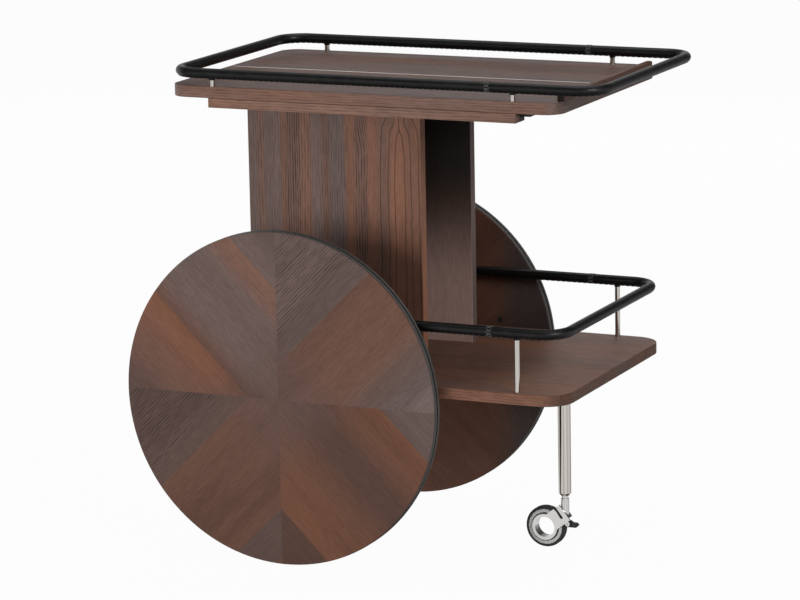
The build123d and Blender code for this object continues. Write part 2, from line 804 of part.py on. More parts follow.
# Caster housing: hub ring, arm beside the tyre, bridge over it and the stem's sleeve
with BuildPart() as caster_housing:
    with BuildSketch(caster_plane(-arm_back)):
        with Locations(Location((0, 0), caster_arm_angle)):
            with Locations((bridge_end / 2, 0)):
                Rectangle(bridge_end, caster_arm_width)
        with Locations((brake_pin_x, brake_pin_up)):
            Circle(brake_boss_radius)
        with Locations(Location((0, 0), caster_arm_angle)):
            with Locations((bridge_start - caster_slot_height / 2, slot_up)):
                Rectangle(caster_slot_height, caster_slot_width, mode=Mode.SUBTRACT)
    extrude(amount=caster_arm_thickness)
    with BuildSketch(caster_plane(caster_half)):
        with Locations(Location((0, 0), caster_arm_angle)):
            with Locations((bridge_start + caster_bridge / 2, 0)):
                Rectangle(caster_bridge, caster_bridge_width)
    extrude(amount=caster_half + arm_front)
    with BuildSketch(Plane.XY.offset(caster_z + stem_housing_foot)):
        with Locations((leg_x, 0)):
            Circle(stem_housing_diameter / 2)
    extrude(amount=stem_housing_rise - stem_housing_foot)
    with BuildSketch(caster_plane(caster_half + caster_side_gap)):
        with Locations(Location((0, 0), caster_arm_angle)):
            with Locations((bridge_start - caster_diameter / 2, 0)):
                Rectangle(caster_diameter, 2 * caster_diameter)
    extrude(amount=2 * caster_half + 2 * caster_side_gap, mode=Mode.SUBTRACT)
    with BuildSketch(caster_plane(-arm_front)):
        Circle(caster_ring_radius)
    extrude(amount=-(arm_front + caster_half + caster_side_gap + retainer_thickness))
    with BuildSketch(caster_plane(-arm_front)):
        Circle(caster_hole_diameter / 2)
    extrude(amount=-(arm_front + caster_half + caster_side_gap + retainer_thickness), mode=Mode.SUBTRACT)
    with BuildSketch(Plane.XY.offset(housing_top)):
        with Locations((leg_x, 0)):
            Circle(stem_diameter / 2 + running_gap)
    extrude(amount=-stem_depth, mode=Mode.SUBTRACT)
    with BuildSketch(caster_plane(caster_half)):
        with Locations((brake_pin_x, brake_pin_up)):
            Circle(brake_pin_diameter / 2 + caster_fit)
    extrude(amount=caster_half + arm_front, mode=Mode.SUBTRACT)
keep(caster_housing, "caster_housing")

# Retaining ring behind the caster's wheel
with BuildPart() as caster_retainer:
    with BuildSketch(caster_plane(caster_half + caster_side_gap)):
        Circle(caster_ring_radius + retainer_reach)
        Circle(caster_ring_radius + caster_fit, mode=Mode.SUBTRACT)
    extrude(amount=-retainer_thickness)
keep(caster_retainer, "caster_retainer")

with BuildPart() as caster_rim:
    with BuildSketch(caster_plane(-caster_half)):
        Circle(caster_rim_radius)
        Circle(caster_ring_radius + running_gap, mode=Mode.SUBTRACT)
    extrude(amount=-caster_width)
keep(caster_rim, "caster_rim")

with BuildPart() as caster_tyre:
    with BuildSketch(caster_plane(-caster_half)):
        Circle(caster_radius)
        Circle(caster_rim_radius + caster_fit, mode=Mode.SUBTRACT)
    extrude(amount=-caster_width)
    fillet(caster_tyre.edges().filter_by(GeomType.CIRCLE).group_by(SortBy.RADIUS)[-1], caster_tyre_round)
keep(caster_tyre, "caster_tyre")

# Brake lever, its nose towards the tyre and its paddle to the outside
lever_left = caster_radius + brake_nose_gap
lever_back = brake_pin_x - brake_lever_below / 2
lever_right = brake_pin_x + brake_lever_length
lever_bottom = brake_pin_up - brake_lever_below
lever_top = lever_bottom + brake_lever_height
paddle_top = lever_bottom + brake_paddle_height
with BuildPart() as brake_lever:
    with BuildSketch(caster_plane(-brake_lever_width / 2)):
        with BuildLine():
            Polyline(
                (lever_left, lever_bottom + brake_nose_height / 2),
                (lever_back, lever_bottom),
                (lever_right - brake_paddle_height / 2, lever_bottom),
                (lever_right, lever_bottom + brake_paddle_height / 2),
                (lever_right - brake_paddle_height / 2, paddle_top),
                (brake_pin_x + brake_lever_below, paddle_top),
                (brake_pin_x + brake_room, lever_top),
                (lever_back, lever_top),
                (lever_left, lever_bottom + brake_nose_height),
                close=True,
            )
        make_face()
        with Locations((brake_pin_x, brake_pin_up)):
            Circle(brake_pin_diameter / 2 + running_gap, mode=Mode.SUBTRACT)
    extrude(amount=-brake_lever_width)
keep(brake_lever, "brake_lever")

with BuildPart() as brake_pin:
    with BuildSketch(caster_plane(caster_half)):
        with Locations((brake_pin_x, brake_pin_up)):
            Circle(brake_pin_diameter / 2)
    extrude(amount=caster_half + arm_front)
keep(brake_pin, "brake_pin")
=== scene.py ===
import math

import bpy
from bpy.props import FloatProperty, FloatVectorProperty, IntProperty, PointerProperty
from mathutils import Matrix, Vector


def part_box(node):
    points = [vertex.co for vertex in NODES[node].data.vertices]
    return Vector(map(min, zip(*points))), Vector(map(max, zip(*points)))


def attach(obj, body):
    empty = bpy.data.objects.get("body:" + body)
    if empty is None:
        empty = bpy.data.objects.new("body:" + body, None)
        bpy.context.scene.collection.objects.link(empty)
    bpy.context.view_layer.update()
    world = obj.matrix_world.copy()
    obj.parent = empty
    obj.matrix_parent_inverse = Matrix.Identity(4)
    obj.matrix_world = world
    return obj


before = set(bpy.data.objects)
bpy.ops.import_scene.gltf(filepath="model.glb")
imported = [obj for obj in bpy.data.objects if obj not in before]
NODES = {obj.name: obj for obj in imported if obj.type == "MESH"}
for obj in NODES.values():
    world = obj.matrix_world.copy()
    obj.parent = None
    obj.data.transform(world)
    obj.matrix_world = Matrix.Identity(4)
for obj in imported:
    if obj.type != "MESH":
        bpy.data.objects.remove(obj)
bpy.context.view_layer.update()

bl_info = {
    "name": "Bar Cart Finishes",
    "version": (1, 0, 0),
    "blender": (4, 5, 0),
    "location": "View3D > Sidebar > Bar Cart",
    "description": "Veneer, leather, stitches, metalwork and studio for a two-wheeled bar cart",
    "category": "Object",
}

SIDES = {"front": -1, "back": 1}
# Scale of the wood's marks along and across the grain, in marks per metre.
DRIFT_SCALE = (1.6, 16)
WANDER_SCALE = (5, 32)
BREAK_SCALE = (38, 260)
PORE_SCALE = (75, 1500)
# Least part of a surface's direction along an axis to count as facing that way.
SQUARE_ON = 0.75


def middle(node):
    """Middle of a CAD node's box."""
    low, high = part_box(node)
    return (low + high) / 2


def colour(name, description, default):
    """A colour that the user can change."""
    return FloatVectorProperty(
        name=name, description=description, subtype="COLOR", size=3, min=0, max=1, default=default
    )


def length(name, description, default):
    """A length that the user can change."""
    return FloatProperty(name=name, description=description, unit="LENGTH", min=0, default=default)


def degrees(name, description, default):
    """An angle that the user can change, given in degrees."""
    return FloatProperty(
        name=name, description=description, subtype="ANGLE", unit="ROTATION", default=math.radians(default)
    )


def ratio(name, description, default):
    """A share from nothing to all that the user can change."""
    return FloatProperty(name=name, description=description, min=0, max=1, default=default)


def amount(name, description, default):
    """A value from zero up that the user can change."""
    return FloatProperty(name=name, description=description, min=0, default=default)


class BARCART_PG_veneer(bpy.types.PropertyGroup):
    """Tones and figure of the stained veneer."""

    slate: colour("Slate", "Grey-brown of the cool leaves", (0.128, 0.088, 0.079))
    walnut: colour("Walnut", "Middle brown of most leaves", (0.14, 0.07, 0.05))
    ember: colour("Ember", "Orange-brown of the warm leaves", (0.235, 0.092, 0.045))
    umber: colour("Umber", "Dark brown of shaded leaves", (0.085, 0.046, 0.035))
    pore: colour("Pore", "Colour down in the pores and late wood", (0.02, 0.011, 0.009))
    # This grey is painted sheen, blended into the stain tones in place of the lacquer's reflection; it is
    # not limed grain.
    painted_sheen: colour("Haze", "Grey of the limed grain on the paler boards", (0.36, 0.33, 0.31))
    # The next three colours paint light and shade on the column's inside: a pale tone low down as painted
    # light, darkening through a mid tone to near black towards the top as painted shade. The third also
    # darkens the shelf's end and the wheels' inner faces as painted shade.
    inside: colour("Inside", "Plain veneer inside the column", (0.54, 0.36, 0.315))
    painted_shade_mid: colour("Tanned", "Stain of the column's inside at mid height", (0.1, 0.063, 0.051))
    painted_shade_dark: colour("Smoked", "Stain of the column's inside towards the top", (0.05, 0.043, 0.04))
    raw: colour("Raw wood", "Wood that is left unstained inside the cart", (0.33, 0.2, 0.11))
    raw_light: colour("Light raw wood", "Paler streaks of the unstained wood", (0.45, 0.29, 0.17))
    ring_pitch: length("Ring pitch", "Spacing of the grain lines across a leaf", 0.0046)
    flame_middle: length("Flame middle", "From the column's right edge to the flame's middle", 0.0393)
    flame_pull: length("Flame pull", "How far the flame's lines draw in at the top", 0.0115)
    roughness: ratio("Roughness", "Roughness of the satin lacquer", 0.48)
    gloss: ratio("Gloss", "Strength of the lacquer's reflection", 0.2)


class BARCART_PG_rails(bpy.types.PropertyGroup):
    """Leather, seams and stitches of the rails."""

    leather: colour("Leather", "Black of the leather", (0.003, 0.003, 0.003))
    worn: colour("Worn leather", "Black where the leather is stretched", (0.006, 0.006, 0.006))
    thread: colour("Thread", "Grey of the sewing thread", (0.17, 0.17, 0.165))
    bend: length("Bend", "Radius of the rail's corners", 0.045)
    seam_pitch: length("Seam pitch", "Spacing of the stitches along the seam", 0.01)
    seam_length: length("Seam length", "Length of the puff between two stitches", 0.0092)
    seam_width: length("Seam width", "Width of one bead of the seam", 0.0042)
    seam_height: length("Seam height", "How far the seam stands out of the rail", 0.0008)
    seam_spread: degrees("Seam spread", "Turn from the seam's middle to its outer beads", 23)
    thread_size: length("Thread size", "Thickness of the thread", 0.0009)
    cross_count: IntProperty(name="Crosses", description="Cross stitches around a joint", min=3, default=10)
    cross_length: length("Cross length", "Length of one cross stitch along the rail", 0.011)


class BARCART_PG_metal(bpy.types.PropertyGroup):
    """Tones of the metalwork, rubber and plastic."""

    polished: colour("Polished steel", "Posts and leg", (0.6, 0.56, 0.515))
    chrome: colour("Chrome", "Caster housing and its ring", (0.66, 0.65, 0.63))
    turned: colour("Turned steel", "Axle, clips, tubes and screws", (0.45, 0.45, 0.45))
    inlay: colour("Inlay", "Bright line along the top", (0.95, 0.91, 0.88))
    alloy: colour("Hub alloy", "Hub flanges in the wheels", (0.5, 0.5, 0.51))
    bronze: colour("Bush bronze", "Bearing bushes in the hubs", (0.5, 0.33, 0.14))
    pits: colour("Bronze pits", "Oily pores of the bushes", (0.2, 0.12, 0.05))
    dark: colour("Dark steel", "Runners, strips and axle blocks", (0.02, 0.018, 0.017))
    rim: colour("Rim", "Grey rim of the caster", (0.58, 0.58, 0.57))
    rubber: colour("Wheel rubber", "Tyres of the large wheels", (0.1, 0.098, 0.095))
    tread: colour("Caster rubber", "Tyre of the caster", (0.03, 0.029, 0.029))
    plastic: colour("Plastic", "Brake lever, plugs, shoes and caps", (0.016, 0.016, 0.016))


class BARCART_PG_stage(bpy.types.PropertyGroup):
    """Camera and light of the studio."""

    azimuth: degrees("Azimuth", "Turn of the camera from the cart's front", 24.561)
    pitch: degrees("Pitch", "How far the camera looks down", 11.833)
    roll: degrees("Roll", "Turn of the camera about its own axis", -1.068)
    distance: length("Distance", "From the camera to the point it looks at", 6.2967)
    target: FloatVectorProperty(
        name="Target", description="Point that the camera looks at", subtype="TRANSLATION", unit="LENGTH",
        default=(-0.0365, 0.0, 0.4143),
    )
    lens: FloatProperty(name="Lens", description="Focal length in millimetres", min=1, default=163.5)
    floor: colour("Floor", "Plain pale floor", (0.3, 0.3, 0.3))
    backdrop: ratio("Backdrop", "Share of the floor that shows plain white", 0.97)
    fill: amount("Fill", "Strength of the light from all round", 0.06)
    ceiling: amount("Ceiling", "Brightness overhead in reflections", 0.15)
    key: amount("Key", "Power of the wide light at the front left", 185)
    side: amount("Side", "Power of the light at the front right", 180)
    back: amount("Back", "Power of the light behind", 150)
    top: amount("Top", "Power of the light overhead", 110)


class Wire:
    """An output socket; arithmetic on it adds Math nodes to its tree."""

    def __init__(self, sheet, socket):
        self.sheet = sheet
        self.socket = socket

    def math(self, operation, *values):
        return self.sheet.node("ShaderNodeMath", {"operation": operation}, dict(enumerate(values)))

    def __add__(self, other):
        return self.math("ADD", self, other)

    __radd__ = __add__

    def __sub__(self, other):
        return self.math("SUBTRACT", self, other)

    def __rsub__(self, other):
        return self.math("SUBTRACT", other, self)

    def __mul__(self, other):
        return self.math("MULTIPLY", self, other)

    __rmul__ = __mul__

    def __truediv__(self, other):
        return self.math("DIVIDE", self, other)

    def __rtruediv__(self, other):
        return self.math("DIVIDE", other, self)

    def __abs__(self):
        return self.math("ABSOLUTE", self)

    def __gt__(self, other):
        return self.math("GREATER_THAN", self, other)

    def smooth(self, none, full):
        """0 at one value and past it, 1 at the other and past it, with a soft step between."""
        settings = {"interpolation_type": "SMOOTHSTEP"}
        values = {"Value": self, "From Min": none, "From Max": full}
        return self.sheet.node("ShaderNodeMapRange", settings, values)


class Sheet:
    """A node tree that nodes are added to."""

    def __init__(self, tree):
        self.tree = tree

    def node(self, kind, settings=None, values=None, out=0):
        """Add a node, set its settings, then its sockets' values or links; give one of its outputs."""
        made = self.tree.nodes.new(kind)
        for name, value in (settings or {}).items():
            if name == "stops":
                self.set_stops(made.color_ramp, value)
            else:
                setattr(made, name, value)
        for name, value in (values or {}).items():
            self.feed(made.inputs[name], value)
        return Wire(self, made.outputs[out]) if made.outputs else made

    def feed(self, socket, value):
        """Give a socket a link or a value of its own."""
        if isinstance(value, Wire):
            self.tree.links.new(value.socket, socket)
        elif socket.type == "RGBA":
            socket.default_value = (*value[:3], 1)
        else:
            socket.default_value = value

    def set_stops(self, ramp, stops):
        """Write a colour ramp's stops."""
        while len(ramp.elements) < len(stops):
            ramp.elements.new(1)
        for element, (position, shade) in zip(ramp.elements, stops):
            element.position = position
            element.color = (*shade[:3], 1)


class Finish(Sheet):
    """A material on a Principled shader."""

    def __init__(self, name):
        self.material = bpy.data.materials.new(name)
        self.material.use_nodes = True
        super().__init__(self.material.node_tree)
        self.shader = self.tree.nodes["Principled BSDF"]

    def shade(self, **values):
        """Feed the shader's sockets, named with underscores for spaces."""
        for name, value in values.items():
            self.feed(self.shader.inputs[name.replace("_", " ")], value)
        return self.material

    def place(self):
        """Object coordinates as three values."""
        return self.split(self.node("ShaderNodeTexCoord", out="Object"))

    def facing(self):
        """Surface direction in the piece's own frame, as three values."""
        return self.split(self.node("ShaderNodeTexCoord", out="Normal"))

    def split(self, vector):
        parts = self.node("ShaderNodeSeparateXYZ", values={"Vector": vector})
        return [Wire(self, socket) for socket in parts.socket.node.outputs]

    def join(self, x, y, z):
        return self.node("ShaderNodeCombineXYZ", values={"X": x, "Y": y, "Z": z})

    def noise(self, vector, detail=2.0):
        """Noise of one unit's size over the vector, from 0 to 1."""
        values = {"Vector": vector, "Scale": 1.0, "Detail": detail}
        return self.node("ShaderNodeTexNoise", values=values, out="Fac")

    def mix(self, factor, first, second):
        """Blend of two colours."""
        settings = {"data_type": "RGBA", "clamp_factor": True}
        return self.node("ShaderNodeMix", settings, {0: factor, 6: first, 7: second}, out=2)

    def ramp(self, factor, stops):
        return self.node("ShaderNodeValToRGB", {"stops": stops}, {"Fac": factor}, out="Color")

    def ruled(self, place, outer, inner):
        """Lines at whole numbers, fading between an inner and an outer distance from each."""
        return place.math("PINGPONG", place, 0.5).smooth(outer, inner)

    def bump(self, height, distance, strength=1.0):
        """Surface direction bent by a height in its own units."""
        values = {"Height": height, "Distance": distance, "Strength": strength}
        return self.node("ShaderNodeBump", values=values)


def dress(material, *names):
    """Give CAD nodes a material."""
    for name in names:
        NODES[name].data.materials.clear()
        NODES[name].data.materials.append(material)


def speckle(finish, x_scale, y_scale, z_scale, detail=2.0):
    """Noise over the piece, with its own scale on each axis."""
    x, y, z = finish.place()
    return finish.noise(finish.join(x * x_scale, y * y_scale, z * z_scale), detail)


def bare_metal(name, tone, scales, smoothest, spread, detail=2.0):
    """Metal whose gloss varies a little from spot to spot."""
    finish = Finish(name)
    marks = speckle(finish, *scales, detail=detail)
    return finish.shade(Base_Color=tone, Metallic=1.0, Roughness=smoothest + marks * spread)


def from_axle(finish, node):
    """Distance from the axle of a wheel, which runs along Y through the middle of one of its nodes."""
    x, _, z = finish.place()
    centre = middle(node)
    offset = finish.join(x - centre.x, 0, z - centre.z)
    return finish.node("ShaderNodeVectorMath", {"operation": "LENGTH"}, {0: offset}, out="Value")


def blend(first, second, share):
    """Colour part of the way from one to another."""
    return tuple(Vector(first[:3]).lerp(Vector(second[:3]), share))


def grain(finish, veneer, along, across, depth, base, lines, seed):
    """Finish a wood surface over its base colour: drifting tone, grain lines, fibres and pores."""

    def streaks(scale, detail=2.0):
        lengthwise, crosswise = scale
        place = finish.join(along * lengthwise + seed, across * crosswise, depth * crosswise)
        return finish.noise(place, detail)

    drift = streaks(DRIFT_SCALE, 3)
    wander = streaks(WANDER_SCALE)
    broken = streaks(BREAK_SCALE, 1)
    pores = streaks(PORE_SCALE, 1)
    place = (across + depth) / veneer.ring_pitch
    rings = finish.ruled(place + wander * 2.4, 0.28, 0.07)
    fibres = finish.ruled(place * 2.7 + wander * 5 + seed, 0.4, 0.1)
    dashes = rings * (0.35 + broken.smooth(0.36, 0.6) * 0.65)
    dots = pores.smooth(0.58, 0.74)
    toned = finish.mix(drift.smooth(0.62, 0.34) * 0.27, base, veneer.pore)
    fibred = finish.mix(fibres * broken.smooth(0.3, 0.65) * 0.22, toned, veneer.pore)
    lined = finish.mix(dashes * lines, fibred, veneer.pore)
    tinted = finish.mix(dots * 0.3, lined, veneer.pore)
    relief = 1 - dashes * 0.6 - dots
    return finish.shade(
        Base_Color=tinted,
        Roughness=veneer.roughness + broken * 0.14 - 0.07,
        Specular_IOR_Level=veneer.gloss,
        Normal=finish.bump(relief, 0.0001),
    )


class BARCART_OT_column(bpy.types.Operator):
    """Veneer the column's panels, with upright leaves and a flame figure at the right"""

    bl_idname = "bar_cart.column"
    bl_label = "Veneer the column"

    # Part of each leaf's width that has the leaf's full tone, and share of painted sheen in the tones: a
    # grey blended in to stand for the lacquer's reflection.
    leaf_core = (0.2, 0.8)
    sheen_share = 0.08
    # The flame's lines: half widths well below the top, soft width of each, sway, and start of the spine.
    flame_rings = (0.009, 0.0209, 0.0357)
    ring_width = (0.00153, 0.00018)
    ring_sway = 0.007
    spine_start = 0.0009
    # Distances from the flame's middle over which the figure ends, and over which its glow fades.
    figure_reach = (0.045, 0.04)
    glow_reach = (0.036, 0.006)
    # Depths below the top between which the lines draw in, slowly and then at a neck; the neck's share of
    # that, and how much higher the wide lines do it.
    taper_depths = (0.115, 0.032)
    neck_depths = (0.061, 0.03)
    neck_share = 0.7
    neck_rise = 0.53
    # Depths below the top, and parts of the panel's width, over which the grain beside the flame leans.
    lean_depths = (0.085, 0.02)
    lean_span = (0.52, 0.72)
    # Depths below the top between which the column's inside is painted darker, as painted shade deepening
    # towards the top.
    half_shade_depths = (0.374, 0.174)
    deep_shade_depths = (0.209, 0.134)

    def execute(self, context):
        veneer = context.scene.bar_cart_veneer
        # The front panel's open edge is its ember tone made 1.35 times brighter: partly the edge's own
        # lighter wood, partly painted light.
        self.veneer_panel(veneer, "front_panel", 1, 0.0, tuple(Vector(veneer.ember) * 1.35))
        self.veneer_panel(veneer, "back_panel", -1, 4.0, blend(veneer.slate, veneer.walnut, 0.2))
        self.veneer_end(veneer)
        return {"FINISHED"}

    def leaves(self, veneer):
        """Width, tone and strength of lines of the upright leaves, from the left edge to the right one."""
        tones = (veneer.slate, veneer.walnut, veneer.ember, veneer.umber)
        # Every leaf tone takes a little of the grey painted sheen.
        slate, walnut, ember, umber = (blend(tone, veneer.painted_sheen, self.sheen_share) for tone in tones)
        warm = blend(walnut, ember, 0.3)
        glow = blend(walnut, ember, 0.6)
        cool = blend(slate, walnut, 0.25)
        dim = blend(slate, umber, 0.5)
        return (
            (0.018, cool, 0.3), (0.011, walnut, 0.45), (0.021, dim, 0.3), (0.012, cool, 0.3),
            (0.01, warm, 0.4), (0.029, walnut, 0.85), (0.018, warm, 0.45), (0.021, cool, 0.3),
            (0.012, walnut, 0.4), (0.033, slate, 0.4), (0.015, glow, 0.3), (0.025, walnut, 0.7),
            (0.013, glow, 0.2), (0.076, walnut, 0.1), (0.01, glow, 0.1),
        )

    def veneer_panel(self, veneer, name, inward, seed, edging):
        """One side of the column: leaves and flame outside, painted light and shade inside, a plain tone on
        its open edge.
        """
        low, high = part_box(name)
        finish = Finish(f"{name}_veneer")
        x, y, z = finish.place()
        nx, ny, _ = finish.facing()
        width = high.x - low.x
        share = (x - low.x) / width
        depth = high.z - z
        tones = []
        strengths = []
        edge = 0.0
        for leaf, tone, lines in self.leaves(veneer):
            for part in self.leaf_core:
                place = min((edge + leaf * part) / width, 1)
                tones.append((place, tone))
                strengths.append((place, (lines, lines, lines)))
            edge += leaf
        aside = abs(x - (high.x - veneer.flame_middle))
        pull = self.drawn_in(finish, veneer, aside, depth, finish.join(x * 11 + seed, z * 9, 0))
        field = aside + pull
        figure = aside.smooth(*self.figure_reach)
        # The flame's ember and the open edge take the same grey painted sheen.
        sheened_ember = blend(veneer.ember, veneer.painted_sheen, self.sheen_share)
        warm = finish.mix(figure * field.smooth(*self.glow_reach) * 0.75, finish.ramp(share, tones), sheened_ember)
        figured = finish.mix(self.flame(aside, pull) * figure * 0.62, warm, veneer.pore)
        # Painted light and shade inside: pale low down, darkening to near black towards the top.
        half_shaded_inside = finish.mix(depth.smooth(*self.half_shade_depths), veneer.inside, veneer.painted_shade_mid)
        shaded_inside = finish.mix(depth.smooth(*self.deep_shade_depths), half_shaded_inside, veneer.painted_shade_dark)
        edged = finish.mix(nx > 0.5, figured, blend(edging, veneer.painted_sheen, self.sheen_share))
        inner = (ny * inward) > 0.5
        shown = finish.mix(inner, edged, shaded_inside)
        lines = finish.ramp(share, strengths) * (1 - inner * 0.6)
        lean = depth.smooth(*self.lean_depths) * share.smooth(*self.lean_span)
        leaning = x + lean * veneer.flame_pull
        dress(grain(finish, veneer, z, leaning, y, shown, lines=lines, seed=seed), name)

    def drawn_in(self, finish, veneer, aside, depth, place):
        """How far the flame's lines stand in towards its middle."""
        below = depth + aside * self.neck_rise
        neck = below.smooth(*self.neck_depths) * self.neck_share
        taper = below.smooth(*self.taper_depths) * (1 - self.neck_share)
        sway = (finish.noise(place) - 0.5) * self.ring_sway
        return (neck + taper) * veneer.flame_pull + sway

    def flame(self, aside, pull):
        """Strength of the flame's lines, and of the spine above the inmost pair."""
        inmost = self.flame_rings[0]
        above = pull.smooth(inmost - self.spine_start, inmost + self.spine_start)
        lines = aside.smooth(*self.ring_width) * above
        for ring in self.flame_rings:
            lines = abs(aside + pull - ring).smooth(*self.ring_width) + lines
        return lines

    def veneer_end(self, veneer):
        """The closed end, in plainer leaves."""
        finish = Finish("left_panel_veneer")
        x, y, z = finish.place()
        tone = speckle(finish, 20, 20, 1.2)
        base = finish.mix(tone.smooth(0.36, 0.64), veneer.slate, veneer.walnut)
        dress(grain(finish, veneer, z, y, x, base, lines=0.4, seed=9.0), "left_panel")


class BARCART_OT_boards(bpy.types.Operator):
    """Veneer the shelf, top, fascias and upstand, and finish the inlay"""

    bl_idname = "bar_cart.boards"
    bl_label = "Veneer the boards"

    def execute(self, context):
        veneer = context.scene.bar_cart_veneer
        rust = blend(veneer.slate, veneer.ember, 0.45)
        # Most board tones take a share of the grey painted sheen.
        sheened_rust = blend(rust, veneer.painted_sheen, 0.1)
        sheened_board_ember = blend(veneer.ember, veneer.painted_sheen, 0.1)
        pale = blend(veneer.ember, veneer.painted_sheen, 0.3)
        glow = tuple(Vector(veneer.ember) * 2.1)
        fascia = (sheened_rust, sheened_board_ember, pale, sheened_rust, 0.1)
        # Cool and warm streaks, front and back edges, painted light and shade of the ends, and strength of
        # the dark patches on the edges.
        tones = {
            "top_board": (
                blend(veneer.slate, veneer.walnut, 0.35), blend(veneer.walnut, veneer.ember, 0.25),
                pale, blend(veneer.walnut, veneer.painted_sheen, 0.46), 0.1,
            ),
            "shelf": (
                blend(rust, veneer.painted_sheen, 0.06), blend(veneer.ember, veneer.painted_sheen, 0.06),
                blend(glow, veneer.painted_sheen, 0.1), blend(veneer.pore, veneer.painted_shade_dark, 0.7), 0.4,
            ),
            "front_fascia": fascia,
            "back_fascia": fascia,
        }
        for seed, (name, (cool, warm, lip, painted_end_tone, patches)) in enumerate(tones.items()):
            finish = Finish(f"{name}_veneer")
            x, y, z = finish.place()
            nx, ny, _ = finish.facing()
            end = abs(nx) > SQUARE_ON
            edge = abs(ny) > SQUARE_ON
            tone = finish.noise(finish.join(x * 2.2 + seed, y * 16, z * 20))
            broad = finish.mix(tone.smooth(0.38, 0.68), cool, warm)
            lipped = finish.mix(edge * 0.3, broad, lip)
            cloud = finish.noise(finish.join(x * 15 + seed, y, z * 12))
            patched = finish.mix(edge * cloud.smooth(0.44, 0.6) * patches, lipped, veneer.umber)
            # Where a board turns to its end, its colour is painted towards the end tone: greyer on the top
            # as painted sheen, near black on the shelf as painted shade.
            base = finish.mix(abs(nx).smooth(0.15, 0.7) * 0.42, patched, painted_end_tone)
            along = x + end * (y - x)
            across = y + end * (x - y)
            dress(grain(finish, veneer, along, across, z, base, lines=0.4, seed=3.0 * seed), name)
        self.upstand(veneer)
        self.plain_wood(veneer)
        self.inlay(context.scene.bar_cart_metal)
        return {"FINISHED"}

    def upstand(self, veneer):
        """The wooden stop, its end grain stained dark."""
        finish = Finish("end_upstand_veneer")
        x, y, z = finish.place()
        _, ny, _ = finish.facing()
        black = tuple(Vector(veneer.pore) * 0.25)
        base = finish.mix((abs(ny) > SQUARE_ON) * 0.97, veneer.walnut, black)
        dress(grain(finish, veneer, y, x, z, base, lines=0.35, seed=21.0), "end_upstand")

    def plain_wood(self, veneer):
        """Unstained wood inside the cart."""
        finish = Finish("plain_wood")
        x, y, z = finish.place()
        base = finish.mix(speckle(finish, 40, 6, 40, detail=3), veneer.raw, veneer.raw_light)
        wood = grain(finish, veneer, y, x, z, base, lines=0.15, seed=31.0)
        dress(wood, "left_cross_rail", "right_cross_rail", "column_dowels")

    def inlay(self, metal):
        """Satin metal line in the top."""
        finish = Finish("inlay_metal")
        brushed = speckle(finish, 60, 4000, 4000, detail=1)
        dress(finish.shade(Base_Color=metal.inlay, Roughness=0.32 + brushed * 0.12), "centre_inlay")


